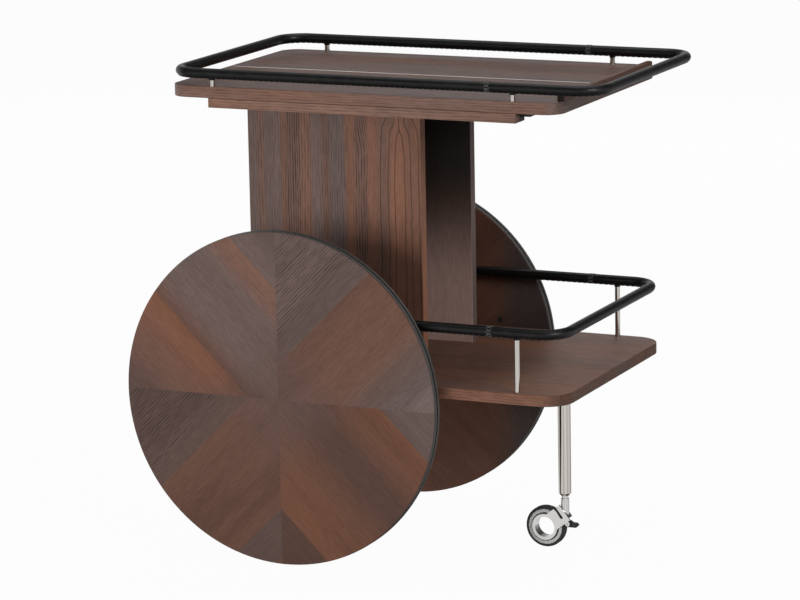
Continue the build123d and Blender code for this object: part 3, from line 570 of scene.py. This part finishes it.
class BARCART_OT_wheels(bpy.types.Operator):
    """Veneer the wheels in quarters whose grain points at the centre, and finish tyres and hubs"""

    bl_idname = "bar_cart.wheels"
    bl_label = "Finish the wheels"

    # Half width of the leaf along a quarter's middle, width of the next ones, and reach of the outermost.
    half_leaf = 0.042
    leaf = 0.092
    reach = 0.2
    # Distances from the centre over which the leaves' points darken.
    heart_reach = (0.13, 0.02)
    # Distances sideways from the centre over which the inner face goes from painted light to painted shade.
    shade_reach = (0.165, 0.235)
    # Depths below the tyre's tread between which its groove is painted dark, as painted shade.
    groove_shade_depths = (0.0004, 0.0012)

    def execute(self, context):
        scene = context.scene
        for side_name, side in SIDES.items():
            self.veneer_disc(scene.bar_cart_veneer, side_name, side)
        self.rubber(scene.bar_cart_metal)
        self.hubs(scene.bar_cart_metal)
        return {"FINISHED"}

    def quarters(self, veneer):
        """Tones across the leaves of each quarter, from the upright seam to the level one."""
        slate, walnut, ember, umber = veneer.slate, veneer.walnut, veneer.ember, veneer.umber
        glow = blend(walnut, ember, 0.55)
        # The upper quarters' warm and pale tones take a little of the grey painted sheen.
        warm = blend(blend(walnut, ember, 0.2), veneer.painted_sheen, 0.06)
        pale = blend(slate, veneer.painted_sheen, 0.1)
        dull = blend(umber, ember, 0.42)
        dusk = blend(umber, slate, 0.5)
        # The next two tones, darkened towards the pore colour, are painted shade on the lower left quarter.
        walnut_in_painted_shade = blend(walnut, veneer.pore, 0.15)
        dusk_in_painted_shade = blend(dusk, veneer.pore, 0.12)
        reach = self.reach
        first = -self.half_leaf - self.leaf
        second = -self.half_leaf
        third = self.half_leaf
        fourth = self.half_leaf + self.leaf
        return {
            "upper_right": [
                (-reach, slate), (second, slate), (second, walnut), (0.07, walnut), (0.15, pale),
            ],
            "upper_left": [
                (-reach, slate), (first, slate), (first, warm), (first + 0.022, warm), (-0.08, slate),
                (0.0, slate), (third, walnut), (third, glow), (fourth - 0.02, walnut), (reach, dusk),
            ],
            "lower_left": [
                (-reach, walnut_in_painted_shade), (-0.19, dusk_in_painted_shade), (first, dusk_in_painted_shade), (first, walnut_in_painted_shade), (-0.05, walnut_in_painted_shade),
                (third, walnut_in_painted_shade), (third, dusk_in_painted_shade), (reach, dusk_in_painted_shade),
            ],
            "lower_right": [
                (-reach, umber), (first, umber), (first, dull), (second - 0.03, dull), (0.01, umber),
                (third, umber), (0.1, dull), (fourth, glow), (fourth, slate), (reach, slate),
            ],
        }

    def veneer_disc(self, veneer, side_name, side):
        """One disc: four quarters of leaves outside, one plain sheet inside with painted light near the
        middle and painted shade towards the rim.
        """
        disc = f"{side_name}_wheel_disc"
        centre = middle(disc)
        finish = Finish(f"{disc}_veneer")
        x, y, z = finish.place()
        u = (x - centre.x) * -side
        w = z - centre.z
        right = u > 0
        upper = w > 0
        across = (abs(u) - abs(w)) * math.sqrt(0.5)
        along = (abs(u) + abs(w)) * math.sqrt(0.5)
        tones = {}
        for quarter, bands in self.quarters(veneer).items():
            stops = [(place / (2 * self.reach) + 0.5, tone) for place, tone in bands]
            tones[quarter] = finish.ramp(across / (2 * self.reach) + 0.5, stops)
        top = finish.mix(right, tones["upper_left"], tones["upper_right"])
        bottom = finish.mix(right, tones["lower_left"], tones["lower_right"])
        heart = blend(veneer.walnut, blend(veneer.umber, veneer.slate, 0.5), 0.85)
        leaves = finish.mix(upper, bottom, top)
        outer = finish.mix(along.smooth(*self.heart_reach) * 0.75, leaves, heart)
        # The inner face is painted lighter near the middle and darker out to the sides, as painted light
        # and shade.
        lit = blend(veneer.walnut, veneer.ember, 0.2)
        shaded = blend(veneer.painted_shade_dark, veneer.slate, 0.5)
        inner = finish.mix(abs(u).smooth(*self.shade_reach), lit, shaded)
        shown = (y * side) > abs(centre.y)
        base = finish.mix(shown, inner, outer)
        ruled_up = upper * right * across.smooth(-0.04, -0.1)
        ruled_down = (1 - upper) * (1 - right) * across.smooth(0.045, 0.1)
        lines = (ruled_up + ruled_down) * 0.5 + 0.12
        quarter_seed = right * 5.3 + upper * 11.7
        dress(grain(finish, veneer, along + quarter_seed, across, y, base, lines=lines, seed=40.0), disc)

    def rubber(self, metal):
        """Grey rubber, painted darker down in the groove as painted shade."""
        for side_name in SIDES:
            tyre = f"{side_name}_wheel_tyre"
            low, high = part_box(tyre)
            finish = Finish(f"{tyre}_rubber")
            depth = (high.z - low.z) / 2 - from_axle(finish, tyre)
            mottle = speckle(finish, 300, 300, 300, detail=4)
            worn = finish.mix(mottle * 0.5, metal.rubber, metal.plastic)
            # Painted shade: the groove darkens to near black.
            tint = finish.mix(depth.smooth(*self.groove_shade_depths) * 0.9, worn, metal.plastic)
            rubber = finish.shade(
                Base_Color=tint,
                Roughness=0.5 + mottle * 0.2,
                Specular_IOR_Level=0.3,
                Normal=finish.bump(mottle, 0.0001),
            )
            dress(rubber, tyre)

    def hubs(self, metal):
        """Turned hubs and sintered bushes."""
        alloy = bare_metal("hub_alloy", metal.alloy, (1500, 3000, 1500), 0.3, 0.2, detail=1)
        dress(alloy, "front_wheel_hub", "back_wheel_hub")
        finish = Finish("bush_bronze")
        specks = speckle(finish, 2500, 2500, 2500)
        sintered = finish.mix(specks.smooth(0.5, 0.7), metal.bronze, metal.pits)
        bronze = finish.shade(Base_Color=sintered, Metallic=1.0, Roughness=0.45)
        dress(bronze, "front_hub_bush", "back_hub_bush")


class BARCART_OT_rails(bpy.types.Operator):
    """Cover the rails and their collars in black leather"""

    bl_idname = "bar_cart.rails"
    bl_label = "Cover the rails"

    def execute(self, context):
        rails = context.scene.bar_cart_rails
        finish = Finish("rail_leather")
        x, y, z = finish.place()
        values = {"Vector": finish.join(x * 900, y * 900, z * 900), "Scale": 1.0}
        pebbles = finish.node("ShaderNodeTexVoronoi", values=values, out="Distance")
        creases = speckle(finish, 70, 70, 70, detail=3)
        leather = finish.shade(
            Base_Color=finish.mix(creases.smooth(0.35, 0.7), rails.leather, rails.worn),
            Roughness=0.3 + pebbles * 0.12,
            Specular_IOR_Level=0.26,
            Normal=finish.bump(pebbles * 0.7 + creases, 0.00012, 0.6),
        )
        dress(
            leather, "upper_leather_main", "upper_leather_handle", "lower_leather_front",
            "lower_leather_back", "lower_leather_end", "upper_collars", "lower_collars",
        )
        return {"FINISHED"}


def bent_path(corners, bend, turns=8):
    """Points along straight runs whose corners are rounded."""
    points = [Vector(corners[0])]
    for before, corner, after in zip(corners, corners[1:], corners[2:]):
        corner = Vector(corner)
        towards = (Vector(before) - corner).normalized()
        away = (Vector(after) - corner).normalized()
        centre = corner + (towards + away) * bend
        for step in range(turns + 1):
            angle = math.pi / 2 * step / turns
            points.append(centre - away * bend * math.cos(angle) - towards * bend * math.sin(angle))
    points.append(Vector(corners[-1]))
    return points


class Repeat(Sheet):
    """Geometry Nodes that set a shape along a line at a pitch, upright on the line's outward direction."""

    def __init__(self, name):
        super().__init__(bpy.data.node_groups.new(name, "GeometryNodeTree"))
        self.sockets = {}
        for label, kind in (("Line", "Geometry"), ("Pitch", "Float"), ("Finish", "Material")):
            made = self.tree.interface.new_socket(label, in_out="INPUT", socket_type=f"NodeSocket{kind}")
            self.sockets[label] = made.identifier
        self.tree.interface.new_socket("Mesh", in_out="OUTPUT", socket_type="NodeSocketGeometry")
        self.entry = self.tree.nodes.new("NodeGroupInput")

    def given(self, label):
        """One of the tree's own inputs."""
        return Wire(self, self.entry.outputs[label])

    def bead(self, size, turn=0.0, lean=0.0, radius=0.0):
        """An egg of a given size, turned about its upright and moved round a rail of a given radius."""
        ball = self.node("GeometryNodeMeshUVSphere", values={"Segments": 6, "Rings": 5, "Radius": 0.5})
        values = {
            "Geometry": ball,
            "Translation": (0, math.sin(lean) * radius, (math.cos(lean) - 1) * radius),
            "Rotation": (-lean, 0, turn),
            "Scale": size,
        }
        return self.node("GeometryNodeTransform", values=values)

    def gather(self, shapes):
        """Several shapes as one."""
        joint = self.tree.nodes.new("GeometryNodeJoinGeometry")
        for shape in shapes:
            self.tree.links.new(shape.socket, joint.inputs[0])
        return Wire(self, joint.outputs[0])

    def spread(self, shapes):
        """Set the shapes along the line and end the tree."""
        curve = self.node("GeometryNodeMeshToCurve", values={"Mesh": self.given("Line")})
        values = {"Curve": curve, "Length": self.given("Pitch")}
        dots = self.node("GeometryNodeResampleCurve", {"mode": "LENGTH"}, values)
        settings = {"data_type": "FLOAT_VECTOR"}
        outward = self.node("GeometryNodeInputNamedAttribute", settings, {"Name": "outward"})
        tangent = self.node("GeometryNodeInputTangent")
        upright = self.node("FunctionNodeAlignRotationToVector", {"axis": "Z"}, {"Vector": outward})
        values = {"Rotation": upright, "Vector": tangent}
        turned = self.node("FunctionNodeAlignRotationToVector", {"axis": "X", "pivot_axis": "Z"}, values)
        values = {"Points": dots, "Instance": self.gather(shapes), "Rotation": turned}
        placed = self.node("GeometryNodeInstanceOnPoints", values=values)
        real = self.node("GeometryNodeRealizeInstances", values={"Geometry": placed})
        smooth = self.node("GeometryNodeSetShadeSmooth", values={"Geometry": real})
        values = {"Geometry": smooth, "Material": self.given("Finish")}
        dyed = self.node("GeometryNodeSetMaterial", values=values)
        self.node("NodeGroupOutput", values={"Mesh": dyed})

    def run(self, context, name, lines, pitch, material):
        """Run the tree over lines of (point, outward direction) and keep the result as a plain mesh."""
        mesh = bpy.data.meshes.new(f"{name}_lines")
        places = []
        links = []
        ways = []
        for line in lines:
            first = len(places)
            places += [place for place, way in line]
            ways += [value for place, way in line for value in way]
            links += [(step, step + 1) for step in range(first, len(places) - 1)]
        mesh.from_pydata(places, links, [])
        mesh.attributes.new("outward", "FLOAT_VECTOR", "POINT").data.foreach_set("vector", ways)
        piece = bpy.data.objects.new(name, mesh)
        context.scene.collection.objects.link(piece)
        modifier = piece.modifiers.new(name, "NODES")
        modifier.node_group = self.tree
        modifier[self.sockets["Pitch"]] = pitch
        modifier[self.sockets["Finish"]] = material
        made = bpy.data.meshes.new_from_object(piece.evaluated_get(context.evaluated_depsgraph_get()))
        piece.modifiers.clear()
        piece.data = made
        return piece


class BARCART_OT_stitches(bpy.types.Operator):
    """Sew the scalloped seam under each rail and the cross stitches around the rails' joints"""

    bl_idname = "bar_cart.stitches"
    bl_label = "Sew the rails"

    ring_steps = 48

    def execute(self, context):
        rails = context.scene.bar_cart_rails
        thread = self.thread(rails)
        leather = bpy.data.materials["rail_leather"]
        leans = (-rails.seam_spread, 0.0, rails.seam_spread)
        puff_size = (rails.seam_length, rails.seam_width, rails.seam_height * 2)
        stitch_size = (rails.thread_size, rails.seam_width, rails.seam_height * 2)
        for name, body, corners, radius in self.runs():
            scallop = Repeat(f"{name}_seam_scallop")
            scallop.spread([scallop.bead(puff_size, 0.0, lean, radius) for lean in leans])
            stitch = Repeat(f"{name}_seam_stitch")
            stitch.spread([stitch.bead(stitch_size, 0.0, lean, radius) for lean in leans])
            seam = self.seam(rails, corners, radius)
            offset = self.shifted(seam, rails.seam_pitch / 2)
            scallops = scallop.run(context, f"{name}_seam", [seam], rails.seam_pitch, leather)
            stitches = stitch.run(context, f"{name}_seam_thread", [offset], rails.seam_pitch, thread)
            for piece in (scallops, stitches):
                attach(piece, body)
            self.crosses(context, rails, name, body, corners, radius, thread)
        return {"FINISHED"}

    def thread(self, rails):
        """Twisted grey thread."""
        finish = Finish("seam_thread")
        twist = speckle(finish, 3000, 3000, 3000, detail=1)
        tint = finish.mix(twist.smooth(0.2, 0.6), rails.leather, rails.thread)
        return finish.shade(Base_Color=tint, Roughness=0.75, Specular_IOR_Level=0.3)

    def runs(self):
        """Name, body, corners and radius of each rail's middle line, from joint to joint or end to end."""
        main_low, main_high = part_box("upper_leather_main")
        handle_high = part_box("upper_leather_handle")[1]
        radius = (main_high.z - main_low.z) / 2
        level = main_low.z + radius
        left = main_low.x + radius
        right = handle_high.x - radius
        side = main_high.y - radius
        joint = main_high.x
        upper = [(joint, -side), (left, -side), (left, side), (right, side), (right, -side), (joint, -side)]
        yield "upper", "top", [(x, y, level) for x, y in upper], radius
        front_low, front_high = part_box("lower_leather_front")
        end_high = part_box("lower_leather_end")[1]
        radius = (front_high.z - front_low.z) / 2
        level = front_low.z + radius
        left = front_low.x
        right = end_high.x - radius
        side = end_high.y - radius
        lower = [(left, -side), (right, -side), (right, side), (left, side)]
        yield "lower", "carcass", [(x, y, level) for x, y in lower], radius

    def seam(self, rails, corners, radius):
        """Points of the seam under the rail, with their outward directions."""
        down = Vector((0, 0, -1))
        return [(place + down * radius, down) for place in bent_path(corners, rails.bend)]

    def shifted(self, line, gap):
        """The same line, starting a little further on."""
        (first, way), (second, _) = line[:2]
        return [(first + (second - first).normalized() * gap, way)] + line[1:]

    def crosses(self, context, rails, name, body, corners, radius, thread):
        """Cross stitches around the rail where its leathers meet."""
        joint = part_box("upper_leather_main")[1].x
        side = abs(corners[0][1])
        level = corners[0][2]
        pitch = math.tau * radius / rails.cross_count
        angle = math.atan2(rails.cross_length, pitch)
        span = rails.cross_length / math.sin(angle)
        cross = Repeat(f"{name}_cross_stitch")
        size = (span, rails.thread_size, rails.thread_size * 1.4)
        cross.spread([cross.bead(size, angle), cross.bead(size, -angle)])
        rings = []
        for hand in SIDES.values():
            centre = Vector((joint, side * hand, level))
            ring = []
            for step in range(self.ring_steps + 1):
                turn = math.tau * step / self.ring_steps
                way = Vector((0, math.cos(turn), math.sin(turn)))
                ring.append((centre + way * radius, way))
            rings.append(ring)
        piece = cross.run(context, f"{name}_joint_stitches", rings, pitch, thread)
        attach(piece, body)


class BARCART_OT_metalwork(bpy.types.Operator):
    """Finish the posts, leg, axle, runners, tubes, screws and plastic pieces"""

    bl_idname = "bar_cart.metalwork"
    bl_label = "Finish the metalwork"

    def execute(self, context):
        metal = context.scene.bar_cart_metal
        dress(self.polished(metal), "upper_posts", "lower_posts", "leg_tube", "leg_plug")
        turned = bare_metal("machined_steel", metal.turned, (1200, 1200, 1200), 0.28, 0.2)
        dress(
            turned, "axle", "axle_clips", "axle_spacers", "underside_screws", "front_hub_screws",
            "back_hub_screws", "brake_pin", "upper_spigots", "lower_tube", "upper_tube_main",
            "upper_tube_handle",
        )
        dress(
            self.blackened(metal), "front_runner", "back_runner", "runner_stops", "front_slide_strip",
            "back_slide_strip", "front_axle_block", "back_axle_block", "leg_flange",
        )
        dress(
            self.moulded(metal), "slide_shoes", "lower_end_caps", "brake_lever", "front_wheel_plugs",
            "back_wheel_plugs",
        )
        return {"FINISHED"}

    def polished(self, metal):
        """Polished tube with faint darker streaks along it: partly drawn lines, partly painted reflection.
        """
        finish = Finish("polished_steel")
        drawn_and_reflection_streaks = speckle(finish, 900, 900, 5)
        painted_sheen = speckle(finish, 25, 25, 9, detail=3)
        # Streaks along the tube, darkened towards the turned-steel tone: partly drawn lines, partly painted
        # reflection.
        tint = finish.mix(drawn_and_reflection_streaks.smooth(0.35, 0.7) * 0.35, metal.polished, metal.turned)
        return finish.shade(
            Base_Color=tint,
            Metallic=1.0,
            Roughness=0.04 + drawn_and_reflection_streaks * 0.06 + painted_sheen * 0.05,
            Normal=finish.bump(drawn_and_reflection_streaks, 0.00003),
        )

    def blackened(self, metal):
        """Powder-coated dark steel."""
        finish = Finish("dark_steel")
        orange_peel = speckle(finish, 800, 800, 800)
        tint = finish.mix(orange_peel, metal.dark, metal.plastic)
        return finish.shade(
            Base_Color=tint,
            Roughness=0.45 + orange_peel * 0.15,
            Normal=finish.bump(orange_peel, 0.00005),
        )

    def moulded(self, metal):
        """Black moulded plastic with a spark-eroded skin."""
        finish = Finish("black_plastic")
        skin = speckle(finish, 2200, 2200, 2200)
        tint = finish.mix(skin.smooth(0.4, 0.8), metal.plastic, metal.dark)
        return finish.shade(Base_Color=tint, Roughness=0.42 + skin * 0.2, Normal=finish.bump(skin, 0.00004))


class BARCART_OT_caster(bpy.types.Operator):
    """Finish the caster: satin chrome, grey rim and dark tread"""

    bl_idname = "bar_cart.caster"
    bl_label = "Finish the caster"

    # Distances from the axle, as shares of a piece's width, over which the rim's painted shade and the
    # tyre's core begin.
    rim_shade_shares = (0.447, 0.437)
    core_shares = (0.43, 0.42)

    def execute(self, context):
        metal = context.scene.bar_cart_metal
        chrome = bare_metal("satin_chrome", metal.chrome, (120, 120, 120), 0.16, 0.14, detail=4)
        dress(chrome, "caster_housing", "caster_stem", "caster_retainer")
        dress(self.rim(metal), "caster_rim")
        dress(self.tread(metal), "caster_tyre")
        return {"FINISHED"}

    def inside(self, finish, node, shares):
        """1 nearer to the caster's axle than some shares of a node's width."""
        low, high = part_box(node)
        width = high.z - low.z
        return (from_axle(finish, "caster_tyre") / width).smooth(*shares)

    def rim(self, metal):
        """Grey moulded rim, painted near black in a ring next to the hub ring as painted shade."""
        finish = Finish("caster_rim_grey")
        skin = speckle(finish, 300, 300, 300)
        # Painted shade: the rim turns near black in a ring next to the hub ring.
        gap = self.inside(finish, "caster_rim", self.rim_shade_shares)
        tint = finish.mix(gap, finish.mix(skin * 0.06, metal.rim, metal.tread), metal.plastic)
        return finish.shade(Base_Color=tint, Roughness=0.35 + skin * 0.2)

    def tread(self, metal):
        """Dark rubber tread on a grey core."""
        finish = Finish("caster_rubber")
        dust = speckle(finish, 400, 400, 400, detail=4)
        core = self.inside(finish, "caster_tyre", self.core_shares)
        dark = finish.mix(dust.smooth(0.45, 0.8) * 0.4, metal.tread, metal.rubber)
        tint = finish.mix(core, dark, metal.rim)
        return finish.shade(Base_Color=tint, Roughness=0.55 + dust * 0.2, Specular_IOR_Level=0.35)


class BARCART_OT_stage(bpy.types.Operator):
    """Set up the floor, the lights and the camera"""

    bl_idname = "bar_cart.stage"
    bl_label = "Set the stage"

    floor_reach = 40.0
    # Each lamp's place and size, and whether polished metal mirrors it.
    lamps = {
        "key": ((-2.4, -3.6, 0.85), (4.6, 1.6), False),
        "side": ((5.0, -2.7, 2.9), (2.4, 2.4), True),
        "back": ((-0.8, 4.6, 1.9), (4.5, 2.2), False),
        "top": ((0.0, 0.6, 5.0), (4.5, 4.5), True),
    }
    lit_point = Vector((0, 0, 0.45))
    # Dark cloths that polished metal mirrors: turn from the cart's front and half width in degrees, depth.
    cloths = ((-67, 18, 0.85), (3, 7, 0.6), (72, 9, 0.5), (115, 24, 0.15), (170, 34, 0.85))
    cloth_softness = 3
    # Upward part of a direction over which the mirrored backdrop fades to the ceiling.
    backdrop_fade = (0.0, 0.6)

    def execute(self, context):
        scene = context.scene
        stage = scene.bar_cart_stage
        scene.view_settings.view_transform = "Standard"
        self.floor(scene, stage)
        self.world(scene, stage)
        for name, (place, size, mirrored) in self.lamps.items():
            self.lamp(scene, f"{name}_light", place, size, getattr(stage, name), mirrored)
        self.camera(scene, stage)
        return {"FINISHED"}

    def floor(self, scene, stage):
        """A pale floor that keeps the shadow and shows nearly white to the camera."""
        reach = self.floor_reach
        corners = [(-reach, -reach, 0), (reach, -reach, 0), (reach, reach, 0), (-reach, reach, 0)]
        mesh = bpy.data.meshes.new("floor")
        mesh.from_pydata(corners, [], [(0, 1, 2, 3)])
        floor = bpy.data.objects.new("floor", mesh)
        scene.collection.objects.link(floor)
        finish = Finish("pale_floor")
        straight, mirrored, through = self.rays(finish)
        x, y, _ = finish.place()
        facing = finish.node("ShaderNodeLayerWeight", values={"Blend": 0.5}, out="Facing")
        sheen = mirrored * self.hung(x - middle("leg_tube").x, y) * facing.smooth(0.25, 0.7)
        seen = straight + through + sheen
        plain = finish.node("ShaderNodeBsdfDiffuse", values={"Color": stage.floor})
        white = finish.node("ShaderNodeEmission", values={"Color": (1, 1, 1), "Strength": 1.0})
        mixed = finish.node("ShaderNodeMixShader", values={0: seen * stage.backdrop, 1: plain, 2: white})
        finish.tree.links.new(mixed.socket, finish.tree.nodes["Material Output"].inputs["Surface"])
        mesh.materials.append(finish.material)

    def rays(self, sheet):
        """1 for rays that show the background straight, mirrored and through glass."""
        path = sheet.node("ShaderNodeLightPath").socket.node.outputs
        names = ("Is Camera Ray", "Is Glossy Ray", "Is Transmission Ray")
        return [Wire(sheet, path[name]) for name in names]

    def hung(self, x, y):
        """1 all round, dimmed where a dark cloth hangs."""
        turn = x.math("ARCTAN2", x, y * -1)
        shown = 1.0
        for place, half, depth in self.cloths:
            off = abs(turn - math.radians(place))
            clear = math.radians(half + self.cloth_softness)
            covered = math.radians(half - self.cloth_softness)
            shown = (1 - off.smooth(clear, covered) * depth) * shown
        return shown

    def world(self, scene, stage):
        """Even fill; a white backdrop that mirrors show fading to a dim ceiling."""
        scene.world = bpy.data.worlds.new("studio")
        scene.world.use_nodes = True
        sheet = Sheet(scene.world.node_tree)
        straight, mirrored, through = self.rays(sheet)
        parts = sheet.node("ShaderNodeSeparateXYZ", values={"Vector": sheet.node("ShaderNodeTexCoord")})
        x, y, z = (Wire(sheet, socket) for socket in parts.socket.node.outputs)
        shown = self.hung(x, y) * (1 - z.smooth(*self.backdrop_fade) * (1 - stage.ceiling))
        level = stage.fill + (straight + through) * (1 - stage.fill) + mirrored * (shown - stage.fill)
        background = scene.world.node_tree.nodes["Background"]
        sheet.feed(background.inputs["Color"], (1, 1, 1))
        sheet.feed(background.inputs["Strength"], level)

    def lamp(self, scene, name, place, size, power, mirrored):
        """A soft light that points at the cart."""
        light = bpy.data.lights.new(name, "AREA")
        light.shape = "RECTANGLE"
        light.size, light.size_y = size
        light.energy = power
        lamp = bpy.data.objects.new(name, light)
        lamp.visible_glossy = mirrored
        aim = self.lit_point - Vector(place)
        lamp.matrix_world = Matrix.Translation(place) @ aim.to_track_quat("-Z", "Y").to_matrix().to_4x4()
        scene.collection.objects.link(lamp)

    def camera(self, scene, stage):
        """The photo's camera."""
        turn = stage.azimuth
        down = stage.pitch
        back = Vector((math.sin(turn) * math.cos(down), -math.cos(turn) * math.cos(down), math.sin(down)))
        right = Vector((math.cos(turn), math.sin(turn), 0))
        up = back.cross(right)
        axes = Matrix((right, up, back)).transposed().to_4x4()
        data = bpy.data.cameras.new("camera")
        data.lens = stage.lens
        data.clip_end = 100
        camera = bpy.data.objects.new("camera", data)
        place = Vector(stage.target) + back * stage.distance
        camera.matrix_world = Matrix.Translation(place) @ axes @ Matrix.Rotation(stage.roll, 4, "Z")
        scene.collection.objects.link(camera)
        scene.camera = camera


OPERATORS = (
    BARCART_OT_column,
    BARCART_OT_boards,
    BARCART_OT_wheels,
    BARCART_OT_rails,
    BARCART_OT_stitches,
    BARCART_OT_metalwork,
    BARCART_OT_caster,
    BARCART_OT_stage,
)
SETTINGS = {
    "bar_cart_veneer": BARCART_PG_veneer,
    "bar_cart_rails": BARCART_PG_rails,
    "bar_cart_metal": BARCART_PG_metal,
    "bar_cart_stage": BARCART_PG_stage,
}


class BARCART_PT_panel(bpy.types.Panel):
    """Lists the cart's finishing steps."""

    bl_idname = "BARCART_PT_panel"
    bl_label = "Bar Cart"
    bl_space_type = "VIEW_3D"
    bl_region_type = "UI"
    bl_category = "Bar Cart"

    def draw(self, context):
        for operator in OPERATORS:
            self.layout.operator(operator.bl_idname)


def register():
    for name, group in SETTINGS.items():
        bpy.utils.register_class(group)
        setattr(bpy.types.Scene, name, PointerProperty(type=group))
    for operator in OPERATORS:
        bpy.utils.register_class(operator)
    bpy.utils.register_class(BARCART_PT_panel)


def unregister():
    bpy.utils.unregister_class(BARCART_PT_panel)
    for operator in reversed(OPERATORS):
        bpy.utils.unregister_class(operator)
    for name, group in SETTINGS.items():
        delattr(bpy.types.Scene, name)
        bpy.utils.unregister_class(group)


def main():
    register()
    bpy.ops.bar_cart.column()
    bpy.ops.bar_cart.boards()
    bpy.ops.bar_cart.wheels()
    bpy.ops.bar_cart.rails()
    bpy.ops.bar_cart.stitches()
    bpy.ops.bar_cart.metalwork()
    bpy.ops.bar_cart.caster()
    bpy.ops.bar_cart.stage()


if __name__ == "__main__":
    main()
